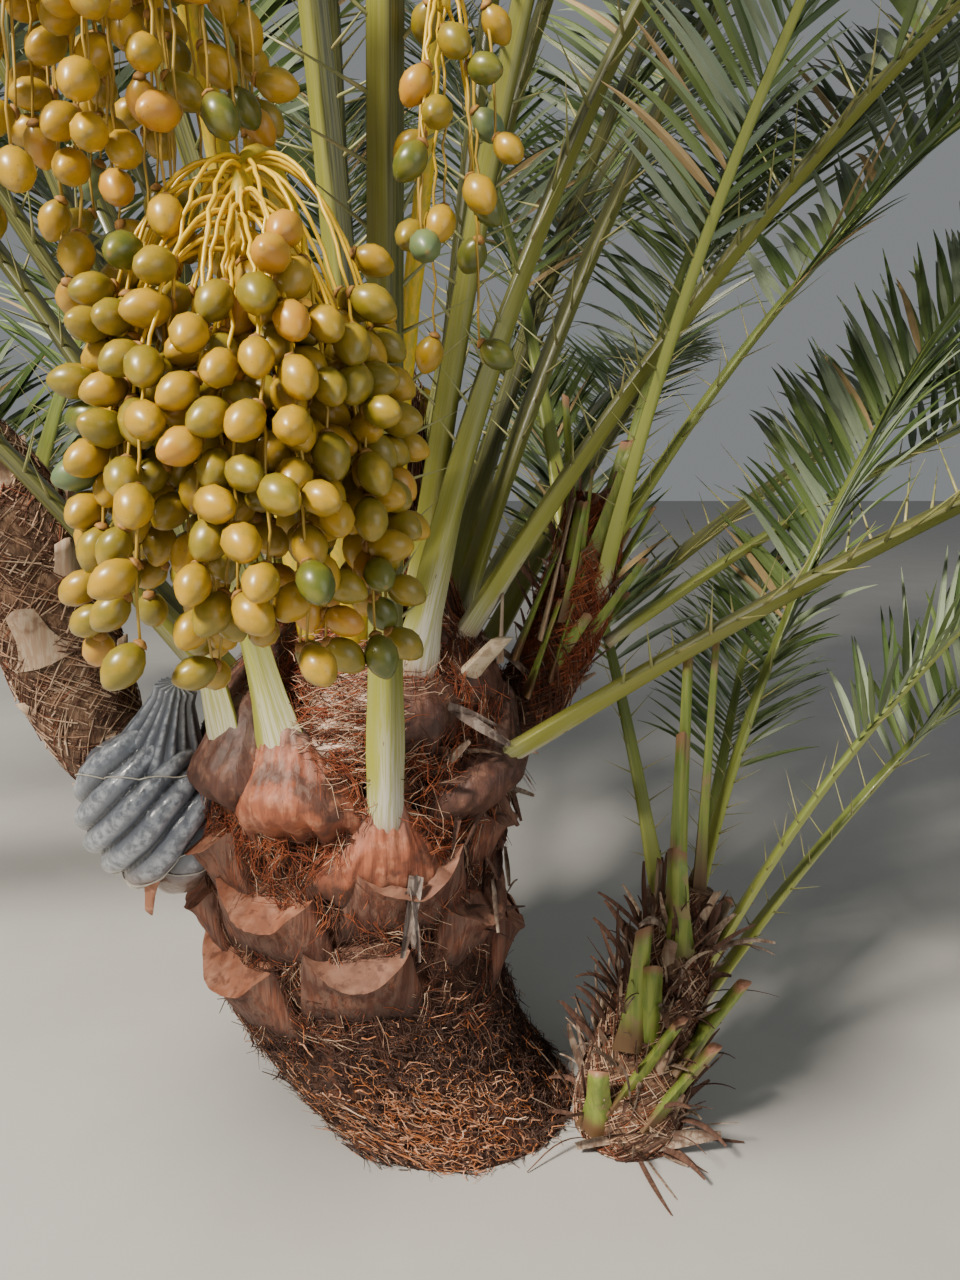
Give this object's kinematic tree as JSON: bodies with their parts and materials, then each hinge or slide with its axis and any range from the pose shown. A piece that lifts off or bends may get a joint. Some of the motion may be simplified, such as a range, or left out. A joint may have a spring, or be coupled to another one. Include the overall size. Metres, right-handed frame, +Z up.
{
  "type": "date palm tree",
  "caption": "Young fruiting date palm with a short stout trunk in cut leaf bases, arching feather fronds, hanging fruit bunches, basal and aerial offshoots and a rooting sack.",
  "frame": {"origin": "centre of the flat cut under the trunk, at ground level", "axes": "+Z up the trunk, -Y towards the side that the two large fruit bunches hang on, +X to the right of that side"},
  "size_m": [5.5727, 4.6923, 4.2415],
  "materials": {
    "bark": "rough brown fibre and cut leaf bases",
    "leaf": "waxy olive stalks and grey-green leaflets",
    "fruit": "smooth waxy yellow dates on yellow strands",
    "sacking": "dull grey plastic sack, folded and tied"
  },
  "bodies": {
    "root": {"trunk": "bark", "upper_offshoot_stem": "bark", "lower_offshoot_stem": "bark", "left_offshoot_stem": "bark", "rooting_sack": "sacking", "fruit_bunch_front_low": "fruit", "fruit_bunch_front_high": "fruit", "fruit_bunch_front_right": "fruit", "fruit_bunch_back": "fruit", "frond_front": "leaf", "frond_front_left": "leaf", "frond_front_left_low": "leaf", "frond_heart_front": "leaf", "frond_heart_upright": "leaf", "frond_heart_back": "leaf", "frond_heart_rear": "leaf", "frond_front_high_1": "leaf", "frond_front_high_2": "leaf", "frond_front_high_3": "leaf", "frond_right_high": "leaf", "frond_right": "leaf", "frond_right_low": "leaf", "frond_left_1": "leaf", "frond_left_2": "leaf", "frond_left_3": "leaf", "frond_left_4": "leaf", "frond_left_5": "leaf", "frond_back_1a": "leaf", "frond_back_1b": "leaf", "frond_back_1c": "leaf", "frond_back_1d": "leaf", "frond_back_2a": "leaf", "frond_back_2b": "leaf", "frond_back_2c": "leaf", "frond_back_2d": "leaf", "frond_back_3a": "leaf", "frond_back_3b": "leaf", "upper_offshoot_frond_1": "leaf", "upper_offshoot_frond_2": "leaf", "upper_offshoot_frond_3": "leaf", "upper_offshoot_frond_4": "leaf", "upper_offshoot_frond_5": "leaf", "lower_offshoot_frond_1": "leaf", "lower_offshoot_frond_2": "leaf", "lower_offshoot_frond_3": "leaf", "lower_offshoot_frond_4": "leaf", "lower_offshoot_frond_5": "leaf", "left_offshoot_frond_1": "leaf", "left_offshoot_frond_2": "leaf", "left_offshoot_frond_3": "leaf", "left_offshoot_frond_4": "leaf"}
  },
  "joints": []
}
